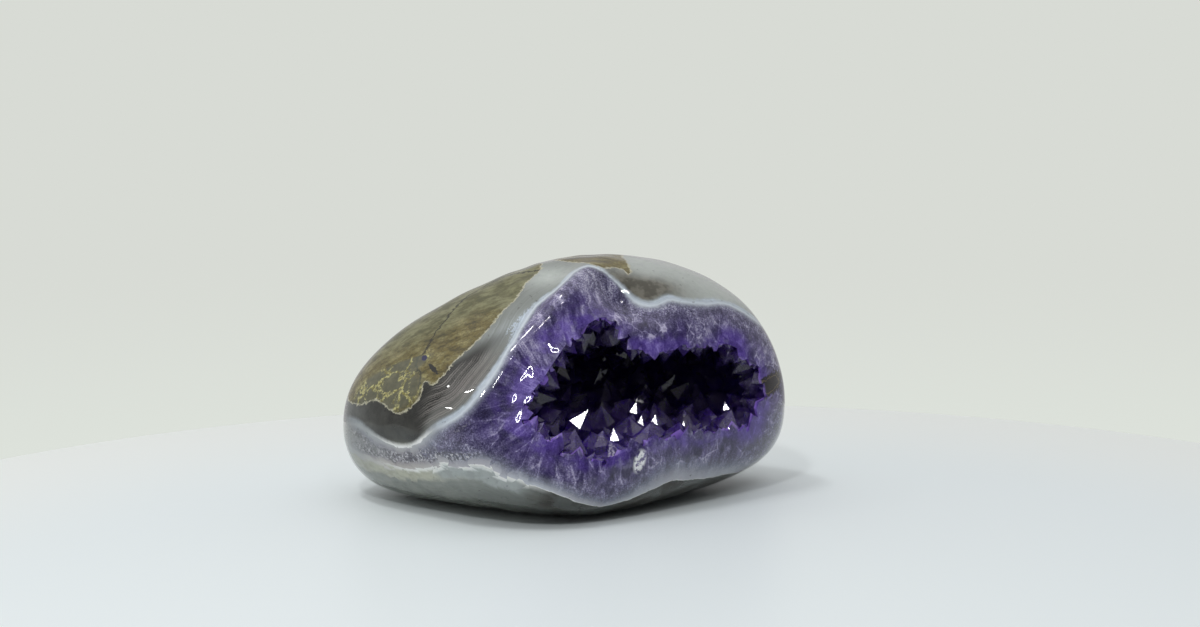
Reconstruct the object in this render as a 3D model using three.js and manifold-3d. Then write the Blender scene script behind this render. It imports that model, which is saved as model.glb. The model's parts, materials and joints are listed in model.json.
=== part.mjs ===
// A polished amethyst geode.
//
// A hollow pebble of amethyst and agate, ground and polished all over. One side is ground through
// to the hollow inside it, and the hollow is lined with a crust of amethyst crystals.
//
// Millimetres, +Z up. The stone rests on a flat ground at Z = 0. Its longest way lies along X, and
// the open side looks towards -Y and round to +X. The origin is under the middle of the stone's box.
//
//   polished_stone   the pebble: skin, agate and massive amethyst, with the hollow in it
//   crystal_crust    the crystals that line the hollow, grown together as one crust

import * as THREE from 'three';
import { ConvexHull } from 'three/addons/math/ConvexHull.js';
import { mergeVertices } from 'three/addons/utils/BufferGeometryUtils.js';
import Module from 'manifold-3d';

// ---------------------------------------------------------------- driving dimensions

// A direction is given by its turn, in degrees from -Y round to +X, and by its rise, in degrees up.
// A reach is in mm from the heart of the stone, which is HEART_HEIGHT above the flat base.
const HEART_HEIGHT = 29.7;

// The stone is a rounded polyhedron, and these are its ground faces. A higher roundness power
// gives sharper ridges between them.
const STONE_ROUNDNESS = 7.5;
const STONE_FACES = [
  { name: 'mouth', turn: 37, rise: 6, reach: 28.8 },
  { name: 'left of the mouth', turn: 11, rise: 26, reach: 24.6 },
  { name: 'left flank', turn: -40, rise: 52, reach: 26.2 },
  { name: 'front band', turn: -42, rise: -8, reach: 43.5 },
  { name: 'right shoulder', turn: 52, rise: 56, reach: 34.5 },
  { name: 'top', turn: 10, rise: 85, reach: 33.3 },
  { name: 'base', turn: 0, rise: -90, reach: 31 },
  { name: 'lower left', turn: -80, rise: -52, reach: 68 },
  { name: 'lower front', turn: -28, rise: -53, reach: 40.2 },
  { name: 'lower right', turn: 51, rise: -44, reach: 40.5 },
  { name: 'right end', turn: 80, rise: -5, reach: 61.7 },
  { name: 'left tip', turn: -90, rise: -20, reach: 66.5 },
  { name: 'upper left', turn: -95, rise: 34, reach: 46.6 },
  { name: 'back', turn: 180, rise: 5, reach: 38 },
  { name: 'back left top', turn: -150, rise: 48, reach: 31.4 },
  { name: 'back left', turn: -140, rise: -10, reach: 50 },
  { name: 'back right', turn: 130, rise: 20, reach: 52 },
  { name: 'back top', turn: 170, rise: 55, reach: 39.9 },
  { name: 'back under', turn: 180, rise: -50, reach: 38 },
];

// Long soft swells on the skin. roll turns the long way from upright, across and along are the half
// widths in degrees as seen from the heart, and a negative height is a dip.
const STONE_SWELLS = [
  { name: 'crest by the left flank', turn: -28, rise: 22, roll: 19, across: 6, along: 34, height: 2 },
  { name: 'rib over the mouth', turn: 8, rise: 62, roll: 38, across: 9, along: 24, height: 3 },
  { name: 'valley beside the rib', turn: 56, rise: 52, roll: -22, across: 8, along: 14, height: -4.2 },
];

// The hollow's mouth lies in an upright plane that faces MOUTH_TURN. Its outline is a smooth closed
// curve through points of (distance along the plane, height), in mm.
const MOUTH_TURN = 36;
const MOUTH_MIDDLE = [5, 29];
const MOUTH_OUTLINE = [
  [-32, 26.3],
  [-24, 36.8],
  [-15, 46.2],
  [-4, 50.8],
  [5, 44],
  [18, 42.6],
  [36, 39.3],
  [46.5, 27.5],
  [41, 17.5],
  [22, 15.8],
  [4, 14.9],
  [-12, 13],
  [-23.5, 18],
];

// From the mouth plane the hollow runs back, drifts to the right, climbs a little and closes in a
// blunt end. In front of the plane it runs on, out of the stone, to a flat front whose edge lies at
// FRONT_EDGE of the way from the plane to the front's middle. Bluntness 2 makes an ellipse.
const MOUTH_PLANE_REACH = 25;
const HOLLOW_FORWARD = 14;
const FRONT_EDGE = 0.35;
const HOLLOW_DEPTH = 35;
const HOLLOW_DRIFT = 13;
const HOLLOW_CLIMB = 2;
const HOLLOW_BLUNTNESS = 1.8;

// The crust stands clear of the stone by GAP. CRYSTAL_COUNT crystals would line the whole closed
// hollow, the part that is ground away included. Variations are shares of the size that they vary.
const GAP = 0.4;
const CRUST_THICKNESS = 1.3;
const VALLEY_VARIATION = 0.4;
const CRYSTAL_COUNT = 620;
const CRYSTAL_HEIGHT = 3.4;
const HEIGHT_VARIATION = 0.35;
const CRYSTAL_LEAN = 0.8;
const CRYSTAL_NUDGE = 0.35;

// How finely the rounded surfaces are cut into flat triangles.
const STONE_DETAIL = 12;
const HOLLOW_RINGS = 9;
const HOLLOW_SIDES = 40;

// ---------------------------------------------------------------- helpers

const { clamp, degToRad, euclideanModulo, radToDeg } = THREE.MathUtils;

function heading(turn, rise) {
  const t = degToRad(turn);
  const r = degToRad(rise);
  return new THREE.Vector3(Math.sin(t) * Math.cos(r), -Math.cos(t) * Math.cos(r), Math.sin(r));
}

// A repeatable scatter between -1 and 1, one value for each seed.
function scatter(seed) {
  const wave = Math.sin(seed * 12.9898 + 4.1414) * 43758.5453;
  return 2 * (wave - Math.floor(wave)) - 1;
}

const wasm = await Module();
wasm.setup();

function solid(geometry) {
  const bare = geometry.clone();
  bare.deleteAttribute('normal');
  bare.deleteAttribute('uv');
  const merged = mergeVertices(bare, 1e-4);
  return new wasm.Manifold(new wasm.Mesh({
    numProp: 3,
    vertProperties: new Float32Array(merged.attributes.position.array),
    triVerts: new Uint32Array(merged.index.array),
  }));
}

function geometryOf(manifold) {
  const mesh = manifold.getMesh();
  const geometry = new THREE.BufferGeometry();
  geometry.setAttribute('position', new THREE.BufferAttribute(mesh.vertProperties, 3));
  geometry.setIndex(new THREE.BufferAttribute(mesh.triVerts, 1));
  geometry.computeVertexNormals();
  return geometry;
}

// ---------------------------------------------------------------- the pebble

const heart = new THREE.Vector3(0, 0, HEART_HEIGHT);

const stoneFaces = STONE_FACES.map((face) => ({ ...face, normal: heading(face.turn, face.rise) }));

const stoneSwells = STONE_SWELLS.map((swell) => {
  const middle = heading(swell.turn, swell.rise);
  const east = new THREE.Vector3(0, 0, 1).cross(middle).normalize();
  const north = middle.clone().cross(east);
  const roll = degToRad(swell.roll);
  const longWay = north.multiplyScalar(Math.cos(roll)).addScaledVector(east, Math.sin(roll));
  return { ...swell, middle, longWay, shortWay: longWay.clone().cross(middle) };
});

// Reach of the skin from the heart along a unit direction: a power mean of the distances to the
// face planes, with the swells added to it.
function skinReach(direction) {
  let sum = 0;
  for (const face of stoneFaces) {
    sum += (Math.max(direction.dot(face.normal), 0) / face.reach) ** STONE_ROUNDNESS;
  }
  let reach = sum ** (-1 / STONE_ROUNDNESS);
  for (const swell of stoneSwells) {
    if (direction.dot(swell.middle) > 0) {
      const across = radToDeg(Math.asin(direction.dot(swell.shortWay))) / swell.across;
      const along = radToDeg(Math.asin(direction.dot(swell.longWay))) / swell.along;
      reach += swell.height * Math.exp(-across * across - along * along);
    }
  }
  return reach;
}

function depthUnderSkin(point) {
  const fromHeart = point.clone().sub(heart);
  const distance = fromHeart.length();
  return skinReach(fromHeart.divideScalar(distance)) - distance;
}

function pebble() {
  const geometry = new THREE.IcosahedronGeometry(1, STONE_DETAIL);
  const positions = geometry.attributes.position;
  const point = new THREE.Vector3();
  for (let i = 0; i < positions.count; i += 1) {
    point.fromBufferAttribute(positions, i).normalize();
    point.multiplyScalar(skinReach(point)).add(heart);
    positions.setXYZ(i, point.x, point.y, point.z);
  }
  return solid(geometry);
}

// A block whose top is the plane that the base is ground to.
function groundBlock() {
  const size = 200;
  return solid(new THREE.BoxGeometry(size, size, size).translate(0, 0, -size / 2));
}

// ---------------------------------------------------------------- the hollow

const mouthNormal = heading(MOUTH_TURN, 0);
const mouthAlong = new THREE.Vector3(0, 0, 1).cross(mouthNormal).normalize();

const mouthCurve = new THREE.CatmullRomCurve3(
  MOUTH_OUTLINE.map(([along, height]) => new THREE.Vector3(along, height, 0)),
  true,
);

// A point on the hollow's wall, moved inwards by inset. side runs round the mouth from 0 to 1.
// station runs from 0 at the mouth plane to 1 at the blunt back end, and below 0 it runs forward,
// out of the stone, to the middle of the flat front at -1.
function hollowPoint(side, station, inset) {
  const outline = mouthCurve.getPointAt(euclideanModulo(side, 1));
  const across = outline.x - MOUTH_MIDDLE[0];
  const upward = outline.y - MOUTH_MIDDLE[1];
  let width = 1 - inset / Math.hypot(across, upward);
  let back = 0;
  let drift = 0;
  if (station > 0) {
    const angle = Math.min(station, 1) * Math.PI / 2;
    drift = Math.sin(angle) ** (2 / HOLLOW_BLUNTNESS);
    width *= Math.cos(angle) ** (2 / HOLLOW_BLUNTNESS);
    back = drift * (HOLLOW_DEPTH - inset);
  } else {
    width *= Math.min(1, (1 + station) / (1 - FRONT_EDGE));
    back = -HOLLOW_FORWARD * Math.min(1, -station / FRONT_EDGE);
  }
  const along = MOUTH_MIDDLE[0] + across * width + drift * HOLLOW_DRIFT;
  const height = MOUTH_MIDDLE[1] + upward * width + drift * HOLLOW_CLIMB;
  return new THREE.Vector3(0, 0, height)
    .addScaledVector(mouthAlong, along)
    .addScaledVector(mouthNormal, MOUTH_PLANE_REACH - back);
}

// A closed solid through rings of points, its first and last rings fanned to their middles.
function ringedSolid(rings) {
  const points = rings.flat();
  const count = rings[0].length;
  const triangles = [];
  for (let ring = 0; ring < rings.length - 1; ring += 1) {
    for (let i = 0; i < count; i += 1) {
      const a = ring * count + i;
      const b = ring * count + (i + 1) % count;
      triangles.push(a, b, b + count, a, b + count, a + count);
    }
  }
  for (const ring of [0, rings.length - 1]) {
    const sum = rings[ring].reduce((total, point) => total.add(point), new THREE.Vector3());
    const hub = points.push(sum.divideScalar(count)) - 1;
    for (let i = 0; i < count; i += 1) {
      const a = ring * count + i;
      const b = ring * count + (i + 1) % count;
      triangles.push(...(ring > 0 ? [hub, a, b] : [hub, b, a]));
    }
  }
  const geometry = new THREE.BufferGeometry().setFromPoints(points);
  geometry.setIndex(triangles);
  return solid(geometry);
}

function hollow(inset) {
  const rings = [];
  for (let ring = -1; ring < HOLLOW_RINGS; ring += 1) {
    const station = ring < 0 ? -FRONT_EDGE : ring / HOLLOW_RINGS;
    const points = [];
    for (let i = 0; i < HOLLOW_SIDES; i += 1) {
      points.push(hollowPoint(i / HOLLOW_SIDES, station, inset));
    }
    rings.push(points);
  }
  return ringedSolid(rings);
}

// ---------------------------------------------------------------- the crystals

// A place on the hollow for a direction on a globe: longitude runs round the mouth, and latitude
// runs from the middle of the open front to the blunt back end.
function globePoint(direction, inset) {
  const side = Math.atan2(direction.y, direction.x) / (2 * Math.PI);
  const station = -Math.asin(clamp(direction.z, -1, 1)) / (Math.PI / 2);
  return hollowPoint(side, station, inset);
}

// The direction square to the hollow's wall, into the open space.
function wallNormal(direction) {
  const step = 0.05;
  const pole = Math.abs(direction.z) > 0.9 ? new THREE.Vector3(1, 0, 0) : new THREE.Vector3(0, 0, 1);
  const east = pole.cross(direction).normalize();
  const north = direction.clone().cross(east);
  const slope = (way) => {
    const ahead = globePoint(direction.clone().addScaledVector(way, step).normalize(), 0);
    return ahead.sub(globePoint(direction.clone().addScaledVector(way, -step).normalize(), 0));
  };
  return slope(east).cross(slope(north)).normalize();
}

// Directions spread evenly by the golden angle, each nudged a little out of line.
function crystalDirections() {
  const goldenAngle = Math.PI * (3 - Math.sqrt(5));
  const nudge = CRYSTAL_NUDGE * Math.sqrt(4 * Math.PI / CRYSTAL_COUNT);
  const directions = [];
  for (let i = 0; i < CRYSTAL_COUNT; i += 1) {
    const z = 1 - (2 * i + 1) / CRYSTAL_COUNT;
    const ring = Math.sqrt(1 - z * z);
    const direction = new THREE.Vector3(
      ring * Math.cos(i * goldenAngle) + nudge * scatter(3 * i),
      ring * Math.sin(i * goldenAngle) + nudge * scatter(3 * i + 1),
      z + nudge * scatter(3 * i + 2),
    );
    directions.push(direction.normalize());
  }
  return directions;
}

// The tip of a crystal. In front of the polished skin there are none, so there it is the wall.
function crystalTip(direction, seed) {
  const root = globePoint(direction, GAP + CRUST_THICKNESS);
  if (depthUnderSkin(root) < 0) {
    return root;
  }
  const height = CRYSTAL_HEIGHT * (1 + HEIGHT_VARIATION * scatter(seed));
  const lean = new THREE.Vector3(scatter(seed + 1), scatter(seed + 2), scatter(seed + 3));
  return root.addScaledVector(wallNormal(direction), height).addScaledVector(lean, CRYSTAL_LEAN);
}

// The open space that the crystals leave. Each crystal is a pyramid on the wall. Its base is a
// polygon of five to seven corners that it shares with its neighbours, in the valleys between them:
// one valley corner for each triangle of neighbouring crystals.
function openSpace() {
  const directions = crystalDirections();
  const numbers = new Map(directions.map((direction, i) => [direction, i]));
  const points = directions.map((direction, i) => crystalTip(direction, 7 * i + 1));
  const valleyAt = new Map();
  for (const face of new ConvexHull().setFromPoints(directions).faces) {
    const corners = [0, 1, 2].map((i) => numbers.get(face.getEdge(i).head().point));
    const middle = new THREE.Vector3();
    corners.forEach((corner) => middle.add(directions[corner]));
    const floor = CRUST_THICKNESS * (1 + VALLEY_VARIATION * scatter(5 * points.length));
    const valley = points.push(globePoint(middle.normalize(), GAP + floor)) - 1;
    corners.forEach((corner, i) => valleyAt.set(`${corner} ${corners[(i + 1) % 3]}`, valley));
  }
  const triangles = [];
  for (const [neighbours, valley] of valleyAt) {
    const [crystal, next] = neighbours.split(' ');
    triangles.push(Number(crystal), valley, valleyAt.get(`${next} ${crystal}`));
  }
  const geometry = new THREE.BufferGeometry().setFromPoints(points);
  geometry.setIndex(triangles);
  return solid(geometry);
}

// ---------------------------------------------------------------- the two pieces

const amethyst = new THREE.MeshStandardMaterial({ color: 0x8f86a8, roughness: 0.15, metalness: 0 });
const crystal = new THREE.MeshStandardMaterial({ color: 0x3a2266, roughness: 0.08, metalness: 0 });

const geode = new THREE.Group();

function addPiece(name, manifold, material) {
  const mesh = new THREE.Mesh(geometryOf(manifold), material);
  mesh.name = name;
  geode.add(mesh);
}

const wholePebble = pebble().subtract(groundBlock());
addPiece('polished_stone', wholePebble.subtract(hollow(0)), amethyst);
addPiece('crystal_crust', hollow(GAP).subtract(openSpace()).intersect(wholePebble), crystal);

const middle = new THREE.Box3().setFromObject(geode).getCenter(new THREE.Vector3());
geode.position.set(-middle.x, -middle.y, 0);

export default geode;
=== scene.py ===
# %% [markdown]
# # A polished amethyst geode
#
# The object is one natural stone: a pebble of amethyst and agate that was ground and polished all
# over until one side opened into the hollow inside it. The frame holds it as two plain solids, the
# stone and the crust of crystals that lines the hollow. Here both are made again with real crystals,
# a real broken edge round the mouth, and the layers that the polish lays bare.

# %% Load the frame
import json

import bpy
import numpy as np
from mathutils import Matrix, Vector

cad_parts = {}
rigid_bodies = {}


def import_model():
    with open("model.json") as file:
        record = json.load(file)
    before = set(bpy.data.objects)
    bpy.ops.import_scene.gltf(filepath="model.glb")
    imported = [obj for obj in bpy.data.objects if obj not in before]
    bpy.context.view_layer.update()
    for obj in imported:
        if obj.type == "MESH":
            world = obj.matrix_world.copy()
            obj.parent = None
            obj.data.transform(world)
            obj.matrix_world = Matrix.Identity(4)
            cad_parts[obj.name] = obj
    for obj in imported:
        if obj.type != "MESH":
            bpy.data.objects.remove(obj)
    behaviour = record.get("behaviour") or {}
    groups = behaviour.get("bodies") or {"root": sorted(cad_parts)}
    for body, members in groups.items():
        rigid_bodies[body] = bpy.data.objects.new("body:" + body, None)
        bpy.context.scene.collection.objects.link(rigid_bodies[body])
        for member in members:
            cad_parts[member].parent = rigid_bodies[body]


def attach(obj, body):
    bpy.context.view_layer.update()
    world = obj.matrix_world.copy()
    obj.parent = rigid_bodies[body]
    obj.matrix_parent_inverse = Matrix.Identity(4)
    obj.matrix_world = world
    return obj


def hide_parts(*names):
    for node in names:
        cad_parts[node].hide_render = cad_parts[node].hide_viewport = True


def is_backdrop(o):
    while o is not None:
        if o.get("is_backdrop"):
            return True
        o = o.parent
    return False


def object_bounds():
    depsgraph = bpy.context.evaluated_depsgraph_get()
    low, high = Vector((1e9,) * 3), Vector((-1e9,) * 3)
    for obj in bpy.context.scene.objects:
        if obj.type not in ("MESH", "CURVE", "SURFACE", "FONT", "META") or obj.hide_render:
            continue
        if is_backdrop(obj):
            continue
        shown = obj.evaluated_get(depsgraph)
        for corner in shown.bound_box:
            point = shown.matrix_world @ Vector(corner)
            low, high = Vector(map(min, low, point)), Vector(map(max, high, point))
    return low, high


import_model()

cad_lowest, cad_highest = (np.array(corner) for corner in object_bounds())
print("the frame's box in mm:", (cad_highest - cad_lowest) * 1000)

# %% [markdown]
# ## The pebble as a formula
#
# A tumbled stone is a handful of broad, nearly flat faces that run into each other over round
# ridges. A power mean of the distances to a set of planes gives just that: one plane wins in the
# middle of a face, and two planes share the ridge between them. The faces below are the solid's own
# driving dimensions, so the new skin lies on the old one. A direction is a turn from -Y round to +X
# and a rise, in degrees, and a reach is in mm from the heart of the stone.

# %% Driving dimensions of the pebble, in mm and degrees
MM = 0.001
HEART_HEIGHT = 29.7
STONE_ROUNDNESS = 7.5
STONE_FACES = {
    "mouth": (37, 6, 28.8),
    "left of the mouth": (11, 26, 24.6),
    "left flank": (-40, 52, 26.2),
    "front band": (-42, -8, 43.5),
    "right shoulder": (52, 56, 34.5),
    "top": (10, 85, 33.3),
    "base": (0, -90, 31),
    "lower left": (-80, -52, 68),
    "lower front": (-28, -53, 40.2),
    "lower right": (51, -44, 40.5),
    "right end": (80, -5, 61.7),
    "left tip": (-90, -20, 66.5),
    "upper left": (-95, 34, 46.6),
    "back": (180, 5, 38),
    "back left top": (-150, 48, 31.4),
    "back left": (-140, -10, 50),
    "back right": (130, 20, 52),
    "back top": (170, 55, 39.9),
    "back under": (180, -50, 38),
}
# Turn, rise, roll of the long way from upright, half width across, half width along, height in mm.
STONE_SWELLS = {
    "crest by the left flank": (-28, 22, 19, 6, 34, 2.0),
    "rib over the mouth": (8, 62, 38, 9, 24, 3.0),
    "valley beside the rib": (56, 52, -22, 8, 14, -4.2),
}
UP = np.array([0.0, 0.0, 1.0])
heart = HEART_HEIGHT * UP
print("the pebble has", len(STONE_FACES), "faces and", len(STONE_SWELLS), "swells")


# %% Directions
def heading(turn, rise):
    """Unit vector (sin turn cos rise, -cos turn cos rise, sin rise), with both angles in degrees."""
    turn, rise = np.radians(turn), np.radians(rise)
    parts = np.sin(turn) * np.cos(rise), -np.cos(turn) * np.cos(rise), np.sin(rise)
    return np.stack(np.broadcast_arrays(*parts), axis=-1)


def unit(vectors):
    """Each vector divided by its own length."""
    return vectors / np.linalg.norm(vectors, axis=-1, keepdims=True)


def patch(directions, turn, rise, roll, across, along):
    """A soft spot: exp(-(a / across)^2 - (b / along)^2).

    a and b are the degrees from its middle to the direction, the short way and the long way. The long
    way is turned by roll from upright.
    """
    middle = heading(turn, rise)
    east = unit(np.cross(UP, middle))
    north = np.cross(middle, east)
    long_way = north * np.cos(np.radians(roll)) + east * np.sin(np.radians(roll))
    short_way = np.cross(long_way, middle)
    a = np.degrees(np.arcsin(np.clip(directions @ short_way, -1, 1))) / across
    b = np.degrees(np.arcsin(np.clip(directions @ long_way, -1, 1))) / along
    return np.where(directions @ middle > 0, np.exp(-a * a - b * b), 0.0)


# %% The reach of the skin
face_table = np.array(list(STONE_FACES.values()), dtype=float)
face_normals = heading(face_table[:, 0], face_table[:, 1])
face_reaches = face_table[:, 2]

RIPPLE_HEIGHT = 0.03
RIPPLE_COUNT = 12
RIPPLE_LENGTHS = (7, 16)
USUAL_REACH = 45
wave_rng = np.random.default_rng(7)
wave_ways = unit(wave_rng.normal(size=(RIPPLE_COUNT, 3)))
wave_turns = 2 * np.pi * USUAL_REACH / wave_rng.uniform(*RIPPLE_LENGTHS, RIPPLE_COUNT)
wave_starts = wave_rng.uniform(0, 2 * np.pi, RIPPLE_COUNT)


def ripple(directions):
    """What hand polishing leaves: the sum of faint sine waves across the stone, of RIPPLE_LENGTHS in mm."""
    waves = np.sin((directions @ wave_ways.T) * wave_turns + wave_starts)
    return RIPPLE_HEIGHT * waves.sum(axis=-1)


def skin_reach(directions):
    """(sum of (max(d.n, 0) / reach)^power)^(-1 / power), plus swells and ripple, cut flat at the base."""
    shares = np.clip(directions @ face_normals.T, 0, None) / face_reaches
    reach = (shares ** STONE_ROUNDNESS).sum(axis=-1) ** (-1 / STONE_ROUNDNESS)
    for *place, height in STONE_SWELLS.values():
        reach = reach + height * patch(directions, *place)
    downward = np.maximum(-directions[..., 2], 1e-6)
    return np.minimum(reach + ripple(directions), HEART_HEIGHT / downward)


print("straight up the skin reaches", skin_reach(UP).round(1), "mm from the heart")

# %% [markdown]
# ## The hollow as a formula
#
# The mouth is a closed curve in an upright plane, and the hollow runs back from it, drifts to one
# side and closes in a blunt end. Two numbers name a place on its wall: the side, from 0 to 1 round
# the mouth, and the station, from 0 at the plane to 1 at the back end. Everything that grows in the
# hollow is placed with those two numbers.

# %% Driving dimensions of the hollow, in mm and degrees
MOUTH_TURN = 36
MOUTH_MIDDLE = np.array([5.0, 29.0])
MOUTH_OUTLINE = np.array([
    (-32, 26.3), (-24, 36.8), (-15, 46.2), (-4, 50.8), (5, 44), (18, 42.6), (36, 39.3),
    (46.5, 27.5), (41, 17.5), (22, 15.8), (4, 14.9), (-12, 13), (-23.5, 18),
], dtype=float)
MOUTH_PLANE_REACH = 25
HOLLOW_FORWARD = 14
FRONT_EDGE = 0.35
HOLLOW_DEPTH = 35
HOLLOW_DRIFT = 13
HOLLOW_CLIMB = 2
HOLLOW_BLUNTNESS = 1.8

mouth_normal = heading(MOUTH_TURN, 0)
mouth_along = np.cross(UP, mouth_normal)


# %% A smooth closed curve
def closed_curve(points, count):
    """Centripetal Catmull-Rom spline through points, as count places equally far apart along it."""
    n = len(points)
    t = np.linspace(0, n, 40 * n, endpoint=False)
    k = t.astype(int)
    w = (t - k)[:, None]
    before, start, end, after = (points[(k + step) % n] for step in (-1, 0, 1, 2))
    gap_a, gap_b, gap_c = (
        np.linalg.norm(q - p, axis=1, keepdims=True) ** 0.5
        for p, q in ((before, start), (start, end), (end, after))
    )
    pull = (start - before) / gap_a - (end - before) / (gap_a + gap_b) + (end - start) / gap_b
    push = (end - start) / gap_b - (after - start) / (gap_b + gap_c) + (after - end) / gap_c
    curve = (
        (2 * w**3 - 3 * w**2 + 1) * start
        + (w**3 - 2 * w**2 + w) * pull * gap_b
        + (3 * w**2 - 2 * w**3) * end
        + (w**3 - w**2) * push * gap_b
    )
    curve = np.vstack([curve, curve[:1]])
    travelled = np.concatenate([[0], np.cumsum(np.linalg.norm(np.diff(curve, axis=0), axis=1))])
    wanted = np.linspace(0, travelled[-1], count, endpoint=False)
    return np.stack([np.interp(wanted, travelled, axis) for axis in curve.T], axis=-1)


mouth_curve = closed_curve(MOUTH_OUTLINE, 1200)
print("the mouth is", np.ptp(mouth_curve[:, 0]).round(1), "by", np.ptp(mouth_curve[:, 1]).round(1), "mm")


# %% Places on the hollow's wall
def hollow_point(side, station, inset):
    """A place on the wall, moved in by inset mm.

    The mouth's outline is drawn in by cos^p and moved back and aside by sin^p of station x 90 degrees,
    where p = 2 / bluntness. A station from 0 to -FRONT_EDGE runs straight forward, and one beyond it
    crosses the flat front to its middle.
    """
    side, station = np.broadcast_arrays(side, station)
    outline = mouth_curve[(np.mod(side, 1) * len(mouth_curve)).astype(int) % len(mouth_curve)]
    offset = outline - MOUTH_MIDDLE
    behind = station > 0
    angle = np.clip(station, 0, 1) * np.pi / 2
    power = 2 / HOLLOW_BLUNTNESS
    drift = np.where(behind, np.sin(angle) ** power, 0)
    front = np.clip(-station, 0, 1)
    narrowing_behind = np.clip(np.cos(angle), 0, 1) ** power
    narrowing_before = np.minimum(1, (1 - front) / (1 - FRONT_EDGE))
    width = np.where(behind, narrowing_behind, narrowing_before)
    width = width * (1 - inset / np.linalg.norm(offset, axis=-1))
    run_before = HOLLOW_FORWARD * np.minimum(1, front / FRONT_EDGE)
    back = np.where(behind, drift * (HOLLOW_DEPTH - inset), -run_before)
    along = MOUTH_MIDDLE[0] + offset[..., 0] * width + drift * HOLLOW_DRIFT
    height = MOUTH_MIDDLE[1] + offset[..., 1] * width + drift * HOLLOW_CLIMB
    forward = MOUTH_PLANE_REACH - back
    return along[..., None] * mouth_along + height[..., None] * UP + forward[..., None] * mouth_normal


print("the hollow's back end lies at", hollow_point(0, 1, 0).round(1), "mm")

# %% [markdown]
# ## From rings of points to closed solids
#
# Both the pebble and the hollow are a stack of rings, closed by a fan of triangles at each end. A
# Boolean modifier with the Manifold solver then joins and cuts such solids in well under a second,
# and its result is again one closed solid, which clear crystal needs: light must cross each face
# once going in and once coming out.


# %% Closed solids
def solid(name, points, face_arrays):
    """A mesh object, linked to the scene, from points in mm and arrays of faces."""
    mesh = bpy.data.meshes.new(name)
    mesh.from_pydata(points, [], [face for faces in face_arrays for face in faces.tolist()])
    made = bpy.data.objects.new(name, mesh)
    bpy.context.scene.collection.objects.link(made)
    return made


def ringed_solid(name, rings):
    """Quads between neighbouring rings, and a fan from each end ring to its own middle.

    rings is an array of (rings, sides, 3). Corner k of a ring joins corner k + 1 and the same two
    corners of the next ring.
    """
    count, sides = rings.shape[:2]
    here = np.arange(sides)
    after = (here + 1) % sides
    start = np.arange(count - 1)[:, None] * sides
    quads = np.stack([start + here, start + after, start + after + sides, start + here + sides], axis=-1)
    first = np.stack([np.full(sides, count * sides), after, here], axis=-1)
    last_ring = (count - 1) * sides
    last = np.stack([np.full(sides, count * sides + 1), last_ring + here, last_ring + after], axis=-1)
    points = np.concatenate([rings.reshape(-1, 3), [rings[0].mean(axis=0), rings[-1].mean(axis=0)]])
    return solid(name, points, [quads.reshape(-1, 4), first, last])


# %% Cutting, reading and clearing away
def cut(target, operation, tool):
    """target becomes its UNION, DIFFERENCE or INTERSECT with tool, which is an object or a collection."""
    step = target.modifiers.new(operation, "BOOLEAN")
    step.solver = "MANIFOLD"
    step.operation = operation
    if isinstance(tool, bpy.types.Collection):
        step.operand_type = "COLLECTION"
        step.collection = tool
    else:
        step.object = tool
    depsgraph = bpy.context.evaluated_depsgraph_get()
    target.data = bpy.data.meshes.new_from_object(target.evaluated_get(depsgraph))
    target.modifiers.clear()


def discard(*objects):
    """Removes objects that were only tools, with their meshes."""
    for tool in objects:
        mesh = tool.data
        bpy.data.objects.remove(tool)
        bpy.data.meshes.remove(mesh)


def read_places(piece):
    """The places of all vertices of a piece, one in a row."""
    places = np.empty(3 * len(piece.data.vertices))
    piece.data.vertices.foreach_get("co", places)
    return places.reshape(-1, 3)


# %% [markdown]
# The pebble's rings run round the axis of the mouth, so they follow the layers that the mouth cuts
# open. The same axis is the middle of a chart, on which the layers are drawn further on. It is also
# here that the new pebble is laid on the frame's: its middle goes to the middle of the frame's box
# and its flat base to the bottom of that box.

# %% The pebble
PEBBLE_RINGS = 200
PEBBLE_SIDES = 400
MOUTH_AXIS_RISE = 2
mouth_axis = heading(MOUTH_TURN, MOUTH_AXIS_RISE)
chart_side = unit(np.cross(UP, mouth_axis))
chart_up = np.cross(mouth_axis, chart_side)


def chart_direction(bearing, away):
    """The direction away degrees from the mouth's axis, at this bearing: 0 to its right, 90 above it."""
    bearing, away = np.radians(bearing)[..., None], np.radians(away)[..., None]
    aside = chart_side * np.cos(bearing) + chart_up * np.sin(bearing)
    return mouth_axis * np.cos(away) + aside * np.sin(away)


def pebble(name, inset, coarseness):
    """The skin, moved in by inset mm: heart + direction x (reach - inset)."""
    away = np.linspace(0, 180, PEBBLE_RINGS // coarseness + 1)[1:-1]
    bearing = np.linspace(0, 360, PEBBLE_SIDES // coarseness, endpoint=False)
    directions = chart_direction(bearing[None, :] + 0 * away[:, None], away[:, None] + 0 * bearing[None, :])
    rings = heart + directions * (skin_reach(directions) - inset)[..., None]
    return ringed_solid(name, rings[:, ::-1])


stone = pebble("polished_geode", 0, 1)
corners = read_places(stone)
shift = (cad_lowest + cad_highest) / 2 / MM - (corners.min(axis=0) + corners.max(axis=0)) / 2
shift[2] = cad_lowest[2] / MM
print("the pebble measures", np.ptp(corners, axis=0).round(2), "mm and moves by", shift.round(2))

# %% [markdown]
# ## The crystals
#
# Amethyst grows into a hollow as crowded six-sided crystals, each ending in a blunt pyramid. The
# crust is a thin shell of massive quartz with those crystals standing on it, joined into one body.
# Their roots lie on a golden-angle lattice, which spreads any number of places evenly over a globe,
# and each crystal gets its own width, length, lean and lopsided tip.

# %% Driving dimensions of the crystals, in mm
CRUST_THICKNESS = 2.3
LIP_DEPTH = 0.9
RIM_REACH = 7.0
STANDS_OUT = 3.0
NUDGE = 0.4
WOBBLE = 0.28
FLOOR_HEIGHTS = (20, 30)
rng = np.random.default_rng(41)


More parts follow.
